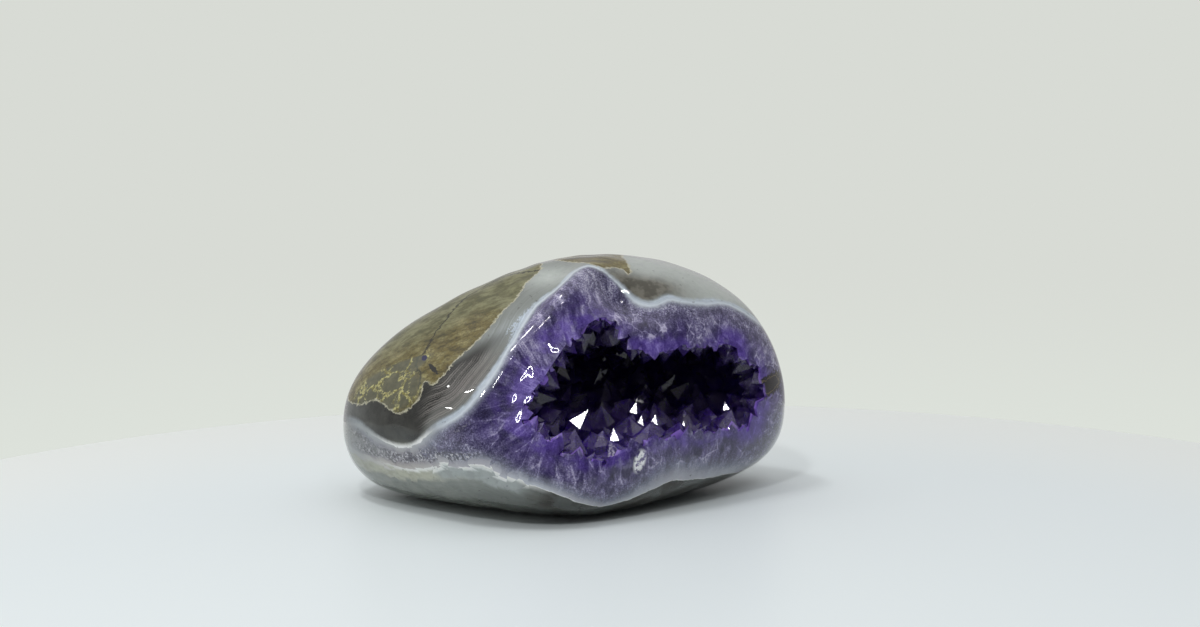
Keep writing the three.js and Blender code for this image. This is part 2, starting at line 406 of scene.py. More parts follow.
# %% Places for crystals
def lattice(count):
    """Golden-angle directions: z = 1 - (2 i + 1) / count and longitude i x 137.5 degrees.

    Each is nudged by a share of the spacing, so that no rows show.
    """
    i = np.arange(count)
    z = 1 - (2 * i + 1) / count
    around = i * np.pi * (3 - np.sqrt(5))
    spread = np.sqrt(1 - z * z)
    even = np.stack([spread * np.cos(around), spread * np.sin(around), z], axis=-1)
    return unit(even + NUDGE * np.sqrt(4 * np.pi / count) * rng.uniform(-1, 1, (count, 3)))


def globe_point(directions, inset):
    """Longitude becomes the side of the hollow, and latitude becomes the station."""
    side = np.arctan2(directions[..., 1], directions[..., 0]) / (2 * np.pi)
    station = -np.arcsin(np.clip(directions[..., 2], -1, 1)) / (np.pi / 2)
    return hollow_point(side, station, inset)


def globe_direction(side, station):
    """The direction that globe_point puts at this side and station."""
    longitude, latitude = side * 2 * np.pi, -station * np.pi / 2
    level = np.cos(latitude)
    return np.stack([np.cos(longitude) * level, np.sin(longitude) * level, np.sin(latitude)], axis=-1)


def wall_normal(directions):
    """Cross product of the wall's slopes to the east and to the north, by finite differences."""
    step = 0.05
    pole = np.where(np.abs(directions[..., 2:]) > 0.9, np.array([1.0, 0, 0]), UP)
    east = unit(np.cross(pole, directions))
    north = np.cross(directions, east)
    slope_east, slope_north = (
        globe_point(unit(directions + way * step), 0) - globe_point(unit(directions - way * step), 0)
        for way in (east, north)
    )
    return unit(np.cross(slope_east, slope_north))


# %% [markdown]
# A crystal is thirteen points: six feet sunk in the shell, six shoulders, and the tip. Working them out
# for a whole layer at once keeps the random draws in a few large arrays.

# %% The shape of a crystal
CORNER_SHARE = 0.45
FOOT_TAPER = 0.92
FOOT_DEPTH = 1.0


def crystal_points(root, axis, side, width, shank, tip, wobble):
    """Six feet, six shoulders and an apex for each crystal.

    Corner k stands at 60 k degrees from side, width off the axis. The feet are FOOT_DEPTH under the
    root, the shoulders shank above it and the apex tip above them. wobble is the share of the width by
    which all of these stray.
    """
    count = len(root)
    side = unit(side - (side * axis).sum(axis=1, keepdims=True) * axis)
    front = np.cross(axis, side)
    angle = np.arange(6) * np.pi / 3
    corner = side[:, None] * np.cos(angle)[:, None] + front[:, None] * np.sin(angle)[:, None]
    corner = corner * (1 + CORNER_SHARE * wobble * rng.uniform(-1, 1, (count, 6, 1))) * width[:, None, None]
    feet = root[:, None] + corner * FOOT_TAPER - FOOT_DEPTH * axis[:, None]
    heights = shank[:, None] + wobble * width[:, None] * rng.uniform(-1, 1, (count, 6))
    shoulders = root[:, None] + corner + axis[:, None] * heights[..., None]
    stray = wobble * width[:, None] * rng.uniform(-1, 1, (count, 2))
    apex = root + side * stray[:, :1] + front * stray[:, 1:] + axis * (shank + tip)[:, None]
    return np.concatenate([feet, shoulders, apex[:, None]], axis=1)


CRYSTAL_FACES = (
    [(k, (k + 1) % 6, 6 + (k + 1) % 6, 6 + k) for k in range(6)]
    + [(6 + k, 6 + (k + 1) % 6, 12) for k in range(6)]
    + [(5, 4, 3, 2, 1, 0)]
)
print("a crystal has", len(CRYSTAL_FACES), "faces")


# %% Depth and soft steps
def depth_under_skin(points):
    """How far a point lies inside the polished skin, along its own direction from the heart."""
    out = points - heart
    distance = np.linalg.norm(out, axis=-1)
    return skin_reach(out / distance[..., None]) - distance


def soft_step(values, low, high):
    """0 below low, 1 above high, and 3 t^2 - 2 t^3 in between."""
    t = np.clip((values - low) / (high - low), 0, 1)
    return t * t * (3 - 2 * t)


# %% [markdown]
# A geode glitters because some crystals happen to turn a face so that it mirrors the lamp to the eye.
# Such a face looks half way between the two. A few large crystals are given that turn further on,
# and all the others leave room for them.

# %% The crystals that glitter, as side, station, width and shank
GLITTER = np.array([
    (0.887, 0.33, 3.4, 4.4), (0.624, 0.31, 2.4, 3.4), (0.622, 0.39, 1.3, 2.6), (0.590, 0.19, 1.6, 2.6),
    (0.729, 0.41, 2.2, 3.4), (0.757, 0.31, 1.9, 3.0), (0.738, 0.13, 1.9, 3.0), (0.818, 0.07, 2.2, 3.0),
    (0.760, 0.17, 1.8, 2.4), (0.605, 0.09, 1.2, 1.6), (0.688, 0.10, 1.3, 1.6), (0.914, 0.48, 1.6, 2.0),
])
GLITTER_ROOM = 1.6
glitter_roots = hollow_point(GLITTER[:, 0], GLITTER[:, 1], CRUST_THICKNESS)
print(len(GLITTER), "crystals glitter")

# %% [markdown]
# Grinding cut the crystals at the edge of the mouth short, and only the small ones survived it whole. So
# crystals start at half their size at the polished skin and reach their full size some way below it,
# except on the floor of the hollow, where they are coarser.


# %% Layers of crystals
def crystals(count, narrowest, widest, longest_shank, lean, only_rim=False):
    """The points of a layer of crystals, each as wide and as long as a random draw within the limits.

    Those that would stand in front of the stone, or in the way of a glittering crystal, are left out.
    With only_rim, so are those deeper than RIM_REACH, and the rest are low and keep their full width.
    """
    directions = lattice(count)
    root = globe_point(directions, CRUST_THICKNESS)
    depth = depth_under_skin(root)
    clear = np.linalg.norm(root[:, None] - glitter_roots, axis=-1) > GLITTER[:, 2] + GLITTER_ROOM
    kept = clear.all(axis=1) & (depth > -STANDS_OUT) & ((depth < RIM_REACH) if only_rim else True)
    root, directions, depth = root[kept], directions[kept], depth[kept]
    total = len(root)
    axis = unit(wall_normal(directions) + lean * rng.uniform(-1, 1, (total, 3)))
    coarse = 1 - soft_step(root[:, 2], *FLOOR_HEIGHTS)
    at_skin = 0.5 + 0.3 * coarse
    size = 1.0 + 0.5 * coarse if only_rim else at_skin + (1 - at_skin) * soft_step(depth, 0, RIM_REACH)
    width = size * rng.uniform(narrowest, widest, total)
    shank = size * longest_shank * rng.uniform(0, 1, total)
    tip = width * (rng.uniform(0.6, 1.0, total) if only_rim else rng.uniform(1.05, 1.35, total))
    return crystal_points(root, axis, rng.normal(size=(total, 3)), width, shank, tip, WOBBLE)


# %% [markdown]
# The axis of a glittering crystal is tipped away from the half-way direction by the slope of a
# pyramid face, and it is tipped towards the wall's normal, so that it still stands on the wall.

# %% Crystals turned to the lamp
VIEW_RISE = 10
VIEW_DISTANCE = 620
LAMP_DISTANCE = 800
KEY_HEADING = (-16, 46)
GLITTER_TIP = 1.2


def glittering(places, root):
    """Crystals with one pyramid face square to the way half between the eye and the key lamp.

    A face slopes from the axis by atan(tip / (width x cos 30)), and the axis leans that far from the
    half-way direction towards the wall's normal.
    """
    side, station, width, shank = places.T
    tip = GLITTER_TIP * width
    normal = wall_normal(globe_direction(side, station))
    eye_way = unit(heart + heading(0, VIEW_RISE) * VIEW_DISTANCE - root)
    lamp_way = unit(heart + heading(*KEY_HEADING) * LAMP_DISTANCE - root)
    halfway = unit(eye_way + lamp_way)
    sideways = unit(normal - (normal * halfway).sum(axis=1, keepdims=True) * halfway)
    slope = np.arctan(tip / (width * np.cos(np.pi / 6)))[:, None]
    axis = np.cos(slope) * halfway + np.sin(slope) * sideways
    outward = unit(halfway - (axis * halfway).sum(axis=1, keepdims=True) * axis)
    first_corner = outward * np.cos(np.pi / 6) - np.cross(axis, outward) * np.sin(np.pi / 6)
    return crystal_points(root, axis, first_corner, width, shank, tip, 0.0)


# %% [markdown]
# Each crystal becomes a small closed mesh in one collection, and a single Boolean unites the whole
# collection with the shell.


# %% The crust
def hollow(name, inset, sides=144, rings=40):
    """The hollow's wall as a closed solid, from its flat front to its blunt back end."""
    stations = np.concatenate([[-FRONT_EDGE], np.arange(rings) / rings])
    return ringed_solid(name, hollow_point(np.arange(sides) / sides, stations[:, None], inset))


loose = bpy.data.collections.new("loose_crystals")
bpy.context.scene.collection.children.link(loose)
crystal_layers = [
    crystals(330, 2.2, 3.9, 3.0, 0.3),
    crystals(420, 0.9, 1.8, 1.8, 0.5),
    crystals(1100, 0.9, 1.9, 0.8, 0.5, only_rim=True),
    glittering(GLITTER, glitter_roots),
]
for crystal in np.concatenate(crystal_layers):
    mesh = bpy.data.meshes.new("crystal")
    mesh.from_pydata(crystal, [], CRYSTAL_FACES)
    loose.objects.link(bpy.data.objects.new("crystal", mesh))

# The shell starts a little inside the stone, so that the Boolean never meets two equal surfaces.
SHELL_OVERLAP = 0.3
crust = hollow("amethyst_crystals", -SHELL_OVERLAP)
inner_wall = hollow("inner_wall", CRUST_THICKNESS)
cut(crust, "DIFFERENCE", inner_wall)
cut(crust, "UNION", loose)
discard(inner_wall, *loose.objects)
bpy.data.collections.remove(loose)

# %% [markdown]
# ## Where the polish meets the crystals
#
# Grinding the stone open cuts straight through the crystals at the mouth, and leaves a flat, shiny,
# jagged edge. So the polished piece keeps a thin lip of the crust right under its skin, and the clear
# piece starts just below the lip. Every edge of the mouth is then a true cut through true crystals.

# %% Cut the lip and the crust
LIP_GAP = 0.1
open_space = hollow("open_space", 0)
cut(open_space, "DIFFERENCE", crust)
under_lip = pebble("under_lip", LIP_DEPTH, 2)
behind_lip = hollow("behind_lip", 0)
cut(behind_lip, "INTERSECT", under_lip)
cut(stone, "DIFFERENCE", behind_lip)
cut(stone, "DIFFERENCE", open_space)
under_crust = pebble("under_crust", LIP_DEPTH + LIP_GAP, 2)
cut(crust, "INTERSECT", under_crust)
discard(open_space, under_lip, behind_lip, under_crust)
for piece in (stone, crust):
    piece.data.calc_loop_triangles()
    print(piece.name, len(piece.data.loop_triangles), "triangles")

# %% [markdown]
# ## The layers as numbers on the mesh
#
# From the hollow outwards a geode has violet quartz, a pale line, banded agate and a brown skin. The
# polished surface cuts across them in wandering lines. Each line is drawn here on a chart round the
# mouth, and every vertex gets its distance in mm to that line, so that a material can colour, warp
# and blur the layers at any scale.

# %% The lines between the layers, as bearing and degrees away from the mouth's axis
# Round the massive quartz, where the pale line runs: over the crest, down the left side, along the
# tongue of quartz at the left tip and back under the mouth.
QUARTZ_EDGE = np.array([
    (17, 65), (28, 61), (36, 56), (43, 53), (51, 52), (57, 49), (62, 50), (66, 53), (76, 64),
    (87, 73), (95, 73), (103, 70), (110, 70), (116, 72), (123, 73), (130, 72), (138, 70), (147, 68),
    (160, 67), (172, 69),
    (183, 74), (189, 84), (195, 94), (196, 101), (193, 110), (190, 118), (191, 128), (196, 132),
    (199, 122), (202, 108), (203, 92), (201, 84), (203, 69), (211, 59), (220, 52), (230, 48),
    (241, 47), (256, 46), (271, 43), (290, 42), (299, 43), (308, 48), (317, 55), (326, 64),
    (333, 73), (345, 78), (0, 77), (10, 71),
], dtype=float)
# Round the brown skin at the left.
SKIN_EDGE = np.array([
    (98, 96), (110, 93), (119, 90), (133, 89), (149, 88), (164, 90), (171, 90), (175, 92), (174, 96),
    (180, 94), (185, 100), (183, 107), (182, 111), (184, 117), (184, 124), (180, 140), (168, 152),
    (140, 156), (112, 146), (92, 130), (90, 110),
], dtype=float)
# Round the small patch of skin on the top edge.
TOP_SKIN_EDGE = np.array([
    (88, 92), (86, 82), (84, 74), (80, 70), (75, 70), (71, 69), (68, 65), (66, 72), (64, 80), (60, 90),
    (64, 101), (77, 105), (87, 101),
], dtype=float)
# Along the open crack that crosses the skin, and back round behind it.
CRACK_LINE = np.array([
    (97, 95), (111, 114), (132, 118), (153, 113), (163, 108), (168, 107), (173, 99), (177, 96),
    (190, 90), (192, 130), (180, 155), (140, 168), (100, 160), (80, 130), (88, 100),
], dtype=float)
for line in (QUARTZ_EDGE, SKIN_EDGE, TOP_SKIN_EDGE, CRACK_LINE):
    print("a line through", len(line), "places on the chart")


# %% Distance to a closed line
SLICE = 4000


def inside_loop(spots, loop):
    """True where a level ray from the spot crosses the loop an odd number of times."""
    following = np.roll(loop, -1, axis=0)
    x, y = spots[:, :1], spots[:, 1:]
    straddles = (loop[:, 1] > y) != (following[:, 1] > y)
    run = np.where(following[:, 1] == loop[:, 1], 1, following[:, 1] - loop[:, 1])
    crossing = loop[:, 0] + (y - loop[:, 1]) * (following[:, 0] - loop[:, 0]) / run
    return (straddles & (x < crossing)).sum(axis=1) % 2 == 1


def signed_distance(points, line, spots, loop):
    """Distance from each point to the nearest place on the line, negative where its spot is in the loop.

    It is worked out for SLICE points at a time, because each is held against every place on the line.
    """
    distances = np.empty(len(points))
    for part in np.array_split(np.arange(len(points)), max(1, len(points) // SLICE)):
        gaps = points[part, None] - line
        distances[part] = np.sqrt((gaps**2).sum(axis=-1).min(axis=1))
        distances[part] *= np.where(inside_loop(spots[part], loop), -1, 1)
    return distances


# %% Distance to a line on the chart
def flat_chart(bearing, away):
    """The chart laid out flat: away degrees from the middle, at that bearing."""
    return np.stack([away * np.cos(np.radians(bearing)), away * np.sin(np.radians(bearing))], axis=-1)


def edge_distance(directions, points, line):
    """Distance in mm to the nearest place on the line, negative for what lies inside it on the flat chart."""
    across, upward = directions @ chart_side, directions @ chart_up
    away = np.degrees(np.arccos(np.clip(directions @ mouth_axis, -1, 1)))
    spots = flat_chart(np.degrees(np.arctan2(upward, across)), away)
    curve = closed_curve(flat_chart(line[:, 0], line[:, 1]), 900)
    on_globe = chart_direction(np.degrees(np.arctan2(curve[:, 1], curve[:, 0])), np.hypot(*curve.T))
    on_skin = heart + on_globe * skin_reach(on_globe)[:, None]
    return signed_distance(points, on_skin, spots, curve)


# %% [markdown]
# Two more coordinates follow how the quartz grew. Its colour depends on how near the hollow it is, and
# its crystals grew side by side as columns that point at the hollow. The mouth was ground open, so the
# distance to it is measured as seen square on from the front.

# %% Distance from the mouth, and the way that the quartz grew
CORE = np.array([-16.0, 30.0]), np.array([32.0, 28.0])
CORE_FORWARD = 20
CORE_RADIUS = 12
COLUMN_STRETCH = 4
CRUST_REACH = 2.8
MOUTH_EDGE_FORWARD = 6


def mouth_distance(points):
    """Distance in mm from the tips of the crust as seen square on, and more for what lies behind the mouth.

    The tips reach CRUST_REACH mm inwards from the mouth's outline.
    """
    seen = np.stack([points @ mouth_along, points[:, 2]], axis=-1)
    outline = mouth_curve[::4]
    beside = np.maximum(0, signed_distance(seen, outline, seen, outline) + CRUST_REACH)
    return np.hypot(beside, np.maximum(0, MOUTH_EDGE_FORWARD - points @ mouth_normal))


def column_places(points):
    """Places in which round cells are long columns in the stone.

    The columns radiate from a core in the hollow. A point at distance d from the core is drawn in to
    CORE_RADIUS + d / COLUMN_STRETCH.
    """
    start, end = (spot[0] * mouth_along + spot[1] * UP + CORE_FORWARD * mouth_normal for spot in CORE)
    core = end - start
    share = np.clip((points - start) @ core / (core @ core), 0, 1)
    nearest = start + share[:, None] * core
    out = points - nearest
    distance = np.linalg.norm(out, axis=1, keepdims=True)
    return nearest + out / distance * (CORE_RADIUS + distance / COLUMN_STRETCH)


# %% [markdown]
# A named attribute carries each number from numpy to the material. The wall of the cut gets numbers
# too: how deep it lies under the skin tells the material where the polish ends and the raw wall
# behind the crystals begins.


# %% Write the distances on the polished stone
def write_number(mesh, name, values):
    """One number for each vertex, as a named attribute that materials can read."""
    mesh.attributes.new(name, "FLOAT", "POINT").data.foreach_set("value", values.astype(np.float32))


CUT_DEPTH = 0.25
WALL_DEPTH = 0.8
points = read_places(stone)
directions = unit(points - heart)
depth = depth_under_skin(points)
quartz_edge = edge_distance(directions, points, QUARTZ_EDGE)
skin_edge = edge_distance(directions, points, SKIN_EDGE)
top_skin_edge = edge_distance(directions, points, TOP_SKIN_EDGE)
write_number(stone.data, "quartz_edge", quartz_edge)
write_number(stone.data, "skin_edge", np.minimum(skin_edge, top_skin_edge))
write_number(stone.data, "crack_line", edge_distance(directions, points, CRACK_LINE))
write_number(stone.data, "mouth_edge", np.where(depth > CUT_DEPTH, 0.0, mouth_distance(points)))
write_number(stone.data, "wall", np.clip(depth / WALL_DEPTH, 0, 1))
columns = stone.data.attributes.new("columns", "FLOAT_VECTOR", "POINT")
columns.data.foreach_set("vector", column_places(points).astype(np.float32).ravel())
print("the quartz edge is from", quartz_edge.min().round(1), "to", quartz_edge.max().round(1), "mm away")

# %% [markdown]
# No two sides of a natural stone look alike. Where a tone or a flaw belongs to one place only, a few
# soft spots say where, and the material decides what happens there. A few of the spots place painted
# light, shade and glints instead. Each spot is a turn and a rise, the roll of its long way from
# upright, and its half widths across and along, all in degrees.

# %% The stone's own tones and flaws, and spots of painted light and shade
TONES = {
    "smoke": [(-61, -7, 20, 8, 14), (-50, 10, 24, 4, 14), (-78, -8, 90, 8, 12)],
    "skin_shade": [(-50, 18, 28, 5, 20)],
    "fan": [(-39, 38, 32, 6, 15)],
    "lace": [(-44, 7, 26, 9, 18)],
    "bistre": [(67, 57, 0, 7, 14), (78, 46, -40, 6, 11)],
    "thin": [(66, 62, 0, 10, 16)],
    # The next spots are partly paler agate and partly painted light, at the right and on top.
    "frost_and_painted_light": [(95, 32, -30, 14, 26), (108, 52, -30, 14, 26), (-40, 78, 90, 9, 20)],
    "cream": [(-68, -26, 90, 9, 26)],
    "milk": [(-33, -25, 94, 7, 15)],
    "grit": [(-86, -17, 90, 7, 8), (-59, -19, 92, 4, 13), (-34, -12, 60, 5, 12)],
    "mist": [(-62, -14, 90, 8, 26)],
    "bloom": [(26, 58, 20, 6, 9)],
    "crust": [(-72, 0, 78, 8, 14), (-74, 8, 40, 3, 9)],
    "grey_rind": [(-100, 62, 70, 14, 40), (-110, 30, 0, 30, 30)],
    "split": [(-62, 10.5, 110, 0.7, 5)],
    "blue_spot": [(-70, 13, 110, 0.9, 1.8)],
    "olive": [(-40, -60, 90, 26, 60)],
    # The next spots are painted shade, low at the front under the stone.
    "under": [(-10, -60, 90, 12, 40), (-18, -38, 90, 6, 22), (-24, -31, 80, 4, 12)],
    "rosy": [(-68, -22, 94, 6, 22)],
    "dull": [(-92, -12, 0, 12, 12)],
    "dusk": [(62, -30, 90, 16, 50), (-40, -20, 90, 9, 30), (5, -38, 90, 10, 24)],
    "glass": [(62, -50, 90, 24, 46)],
    "notch": [(95, -2, 70, 2.2, 5.5)],
    "deep": [(86, 12, 30, 6, 12), (89, -10, -20, 6, 14)],
    # The next spot is a painted glint, a mottled white spot under the mouth.
    "painted_glint": [(38, -27, 30, 2.8, 4.5)],
}
for name, spots in TONES.items():
    total = sum(patch(directions, *spot) for spot in spots)
    write_number(stone.data, name, np.clip(total, 0, 1))

# How many times wider than usual the quartz fades into the pale line: 1 plus these shares of a spot.
FADES = [(2.4, (62, -30, 94, 14, 55)), (1.2, (-40, -20, 90, 10, 40)), (-0.55, (66, 62, 0, 10, 16))]
fade = 1.0 + sum(share * patch(directions, *spot) for share, spot in FADES)
write_number(stone.data, "fade", fade)
print(len(TONES), "tones, and a fade from", fade.min().round(2), "to", fade.max().round(2))

# %% [markdown]
# A face of the stone is shaded smooth only where all its corners lie on the polished skin, so the
# broken edge stays sharp. The crystals are flat all over, and each vertex knows how deep it lies, for
# a painted shade that darkens the crystals deep in the hollow and much less those low on its floor.

# %% Smooth polish, flat crystals and the painted shade of the hollow
SKIN_TOLERANCE = 0.02
SHARP_ANGLE = 35
GLOOM_DEPTHS = (3, 13)
GLOOM_HEIGHTS = (20, 34)
GLOOM_ON_FLOOR = 0.1
loops = np.empty(len(stone.data.loops), dtype=int)
stone.data.loops.foreach_get("vertex_index", loops)
starts = np.empty(len(stone.data.polygons), dtype=int)
stone.data.polygons.foreach_get("loop_start", starts)
smooth = np.minimum.reduceat((depth < SKIN_TOLERANCE)[loops], starts)
stone.data.polygons.foreach_set("use_smooth", smooth)
stone.data.set_sharp_from_angle(angle=np.radians(SHARP_ANGLE))
crust.data.polygons.foreach_set("use_smooth", np.zeros(len(crust.data.polygons), dtype=bool))

crystal_spots = read_places(crust)
# Painted shade: the crystals' colour darkens with depth under the skin, much less low on the floor.
height_share = GLOOM_ON_FLOOR + (1 - GLOOM_ON_FLOOR) * soft_step(crystal_spots[:, 2], *GLOOM_HEIGHTS)
painted_hollow_shade = soft_step(depth_under_skin(crystal_spots), *GLOOM_DEPTHS) * height_share
write_number(crust.data, "painted_hollow_shade", painted_hollow_shade)
print(smooth.sum(), "smooth faces of", len(smooth), "and a mean gloom of", painted_hollow_shade.mean().round(2))

# %% [markdown]
# All shapes so far are in mm round the solid's own origin. The last step on the meshes takes them to
# the frame's place and to metres. The objects themselves stay at the origin, unturned and unscaled,
# because the materials read the places in the mesh.

# %% Place both pieces in the frame
for piece in (stone, crust):
    piece.data.vertices.foreach_set("co", ((read_places(piece) + shift) * MM).ravel())
    piece.data.update()
    print(piece.name, "is", (np.ptp(read_places(piece), axis=0) / MM).round(1), "mm")

# %% [markdown]
# ## Small helpers for node materials
#
# A procedural material is a sum of small steps: read a place or a number, stir it with noise, turn it
# into a colour, and mix colours by soft masks. Each helper adds one such node and returns its output.


# %% Node helpers
def shade(red, green, blue):
    """A colour given as 0 to 255 on a screen, as the linear values that a shader works with."""
    values = np.array([red, green, blue]) / 255
    linear = np.where(values <= 0.04045, values / 12.92, ((values + 0.055) / 1.055) ** 2.4)
    return (*linear.tolist(), 1.0)


class Nodes:
    """A growing node tree."""

    def __init__(self, tree):
        self.tree = tree

    def feed(self, socket, value):
        """Links an output to the socket, or sets the socket to a plain value."""
        if isinstance(value, bpy.types.NodeSocket):
            self.tree.links.new(value, socket)
        elif value is not None:
            socket.default_value = value

    def node(self, kind, inputs=(), **settings):
        """A new node with its properties set and its inputs fed by number or name."""
        made = self.tree.nodes.new(kind)
        for name, value in settings.items():
            setattr(made, name, value)
        for socket, value in dict(inputs).items():
            self.feed(made.inputs[socket], value)
        return made

    def number(self, name):
        """A number stored on the mesh."""
        return self.node("ShaderNodeAttribute", attribute_name=name).outputs["Fac"]

    def vector(self, name):
        """A vector stored on the mesh."""
        return self.node("ShaderNodeAttribute", attribute_name=name).outputs["Vector"]

    def place(self):
        """The place on the piece, in mm."""
        spot = self.node("ShaderNodeTexCoord").outputs["Object"]
        return self.node("ShaderNodeVectorMath", {0: spot, "Scale": 1 / MM}, operation="SCALE").outputs[0]

    def math(self, operation, a, b=None, c=None):
        """One step of arithmetic on up to three numbers."""
        return self.node("ShaderNodeMath", {0: a, 1: b, 2: c}, operation=operation).outputs[0]

    def times(self, a, b):
        """a x b."""
        return self.math("MULTIPLY", a, b)

    def blend(self, value, share, rest):
        """value x share + rest."""
        return self.math("MULTIPLY_ADD", value, share, rest)

    def stir(self, spot, scale, detail=3.0, roughness=0.55, distortion=0.0):
        """Noise from 0 to 1, with this many swells per mm."""
        inputs = {"Vector": spot, "Scale": scale, "Detail": detail, "Roughness": roughness}
        return self.node("ShaderNodeTexNoise", {**inputs, "Distortion": distortion}).outputs["Fac"]

    def level(self, number, scale, detail=3.0, roughness=0.55):
        """Noise that changes only with a number, so its lines follow the number's level curves."""
        spot = self.node("ShaderNodeCombineXYZ", {0: number}).outputs[0]
        return self.stir(spot, scale, detail, roughness)

    def step(self, value, low, high, start=0.0, end=1.0):
        """A soft step: start below low, end above high."""
        inputs = {"Value": value, "From Min": low, "From Max": high, "To Min": start, "To Max": end}
        return self.node("ShaderNodeMapRange", inputs, interpolation_type="SMOOTHSTEP").outputs["Result"]

    def band(self, value, rise, fall, height=1.0):
        """0 below rise and above fall, and height between them. Each of the two is a low and a high."""
        return self.times(self.step(value, *rise), self.step(value, *fall, height, 0.0))

    def soft(self, name, low, high, start=0.0, end=1.0):
        """A soft step of a number stored on the mesh."""
        return self.step(self.number(name), low, high, start, end)

    def mix(self, share, a, b):
        """Colour a, and colour b where share is 1."""
        return self.node("ShaderNodeMix", {0: share, 6: a, 7: b}, data_type="RGBA").outputs[2]

    def shades(self, value, low, high, a, b):
        """Colour a below low, and colour b above high."""
        return self.mix(self.step(value, low, high), a, b)

    def cells(self, spot, scale, **settings):
        """Voronoi cells, with this many per mm."""
        return self.node("ShaderNodeTexVoronoi", {"Vector": spot, "Scale": scale}, **settings)

    def cell_number(self, cells):
        """One random number for each cell."""
        return self.node("ShaderNodeSeparateColor", {0: cells.outputs["Color"]}).outputs[0]

    def ramp(self, value, stops):
        """Colours along a number: stops are (number, colour), from low to high."""
        low, high = stops[0][0], stops[-1][0]
        limits = {"Value": value, "From Min": low, "From Max": high}
        share = self.node("ShaderNodeMapRange", limits).outputs["Result"]
        made = self.node("ShaderNodeValToRGB", {0: share})
        points = made.color_ramp.elements
        while len(points) < len(stops):
            points.new(0.5)
        for point, (where, colour) in zip(points, stops):
            point.position = (where - low) / (high - low)
        for point, (where, colour) in zip(points, stops):
            point.color = colour
        return made.outputs["Color"]


class Finish(Nodes):
    """A material and its node tree."""

    def __init__(self, name):
        self.material = bpy.data.materials.new(name)
        self.material.use_nodes = True
        super().__init__(self.material.node_tree)
        self.surface = self.tree.nodes["Principled BSDF"]
        self.output = self.tree.nodes["Material Output"]

    def set_surface(self, **values):
        """Feeds the shader's sockets, named with _ for a space."""
        for name, value in values.items():
            self.feed(self.surface.inputs[name.replace("_", " ")], value)

    def dress(self, piece):
        """Makes this the piece's only material."""
        piece.data.materials.clear()
        piece.data.materials.append(self.material)
        print(self.material.name, "has", len(self.tree.nodes), "nodes")


# %% [markdown]
# ## The finish of the polished stone
#
# One material carries every layer, because on the real stone they are one body under one polish. It
# starts with the two coordinates that all layers share: the distance outwards from the edge of the
# quartz and the distance from the mouth, both stirred a little by noise so that no layer runs evenly.
# Where the cream and milky bands lie, the edge jumps from flake to flake, as chipped chalcedony does.

# %% The shared coordinates
polish = Finish("polished_amethyst_and_agate")
place = polish.place()
columns = polish.vector("columns")
slow = polish.stir(place, 0.16)
fine = polish.stir(place, 0.9, 4, 0.6)
mottle = polish.stir(place, 0.6, 4, 0.6)
wander = polish.blend(slow, 3.0, polish.math("SUBTRACT", fine, 2.0))
flake = polish.cell_number(polish.cells(place, 0.34))
flaky_place = polish.math("MAXIMUM", polish.number("cream"), polish.number("milk"))
flake_size = polish.step(flaky_place, 0.1, 0.4, 0.0, 1.5)
flaky_edge = polish.blend(polish.math("SUBTRACT", flake, 0.5), flake_size, polish.number("quartz_edge"))
quartz = polish.blend(wander, 0.45, flaky_edge)
mouth = polish.blend(wander, 1.6, polish.number("mouth_edge"))

# %% [markdown]
# Massive amethyst is a crowd of columns that grew side by side. Its tone, from dark to light, is a sum:
# streaks along the columns, blotches a few mm wide, a salt-and-pepper grain, one shade for each lobe
# of columns and bright seams between them. Grain is strongest where the columns began, next to the
# agate, and lobes where they end, at the mouth. Painted light makes the tone lighter higher up, as
# light from overhead would, and the tone is lightest in one bloom beside the rib.

# %% The tone of massive amethyst
streaks = polish.stir(columns, 0.6, 3, 0.55, 0.5)
blotches = polish.stir(place, 0.34, 4, 0.62)
grain = polish.stir(place, 2.6, 2, 0.7)
inner = polish.step(mouth, 3.0, 12.0)
lobes = polish.cells(columns, 0.42, feature="SMOOTH_F1")
polish.feed(lobes.inputs["Smoothness"], 0.35)
lobe_tone = polish.math("SUBTRACT", polish.cell_number(lobes), 0.5)
seams = polish.cells(columns, 0.34, feature="DISTANCE_TO_EDGE").outputs["Distance"]
seam_tone = polish.times(polish.step(seams, 0.01, 0.07, 0.5, 0.0), polish.step(inner, 0, 1, 1.0, 0.2))
height = polish.node("ShaderNodeSeparateXYZ", {0: place}).outputs["Z"]

tone = polish.blend(streaks, 0.9, -0.32)
tone = polish.blend(blotches, 0.62, tone)
tone = polish.blend(grain, polish.step(inner, 0, 1, 0.9, 1.5), tone)
tone = polish.math("SUBTRACT", tone, polish.step(inner, 0, 1, 0.38, 0.68))
tone = polish.blend(lobe_tone, polish.step(inner, 0, 1, 0.45, 0.12), tone)
tone = polish.blend(seam_tone, polish.step(blotches, 0.4, 0.6, 0.0, 0.6), tone)
tone_share = polish.step(mouth, 3.0, 8.0, 0.85, 0.95)
tone = polish.blend(tone, tone_share, polish.step(mouth, 3.0, 8.0, 0.06, 0.02))
# Painted light: the tone is lighter higher up.
tone = polish.math("ADD", tone, polish.step(height, 14, 42, -0.04, 0.08))
tone = polish.blend(polish.number("bloom"), 0.16, tone)
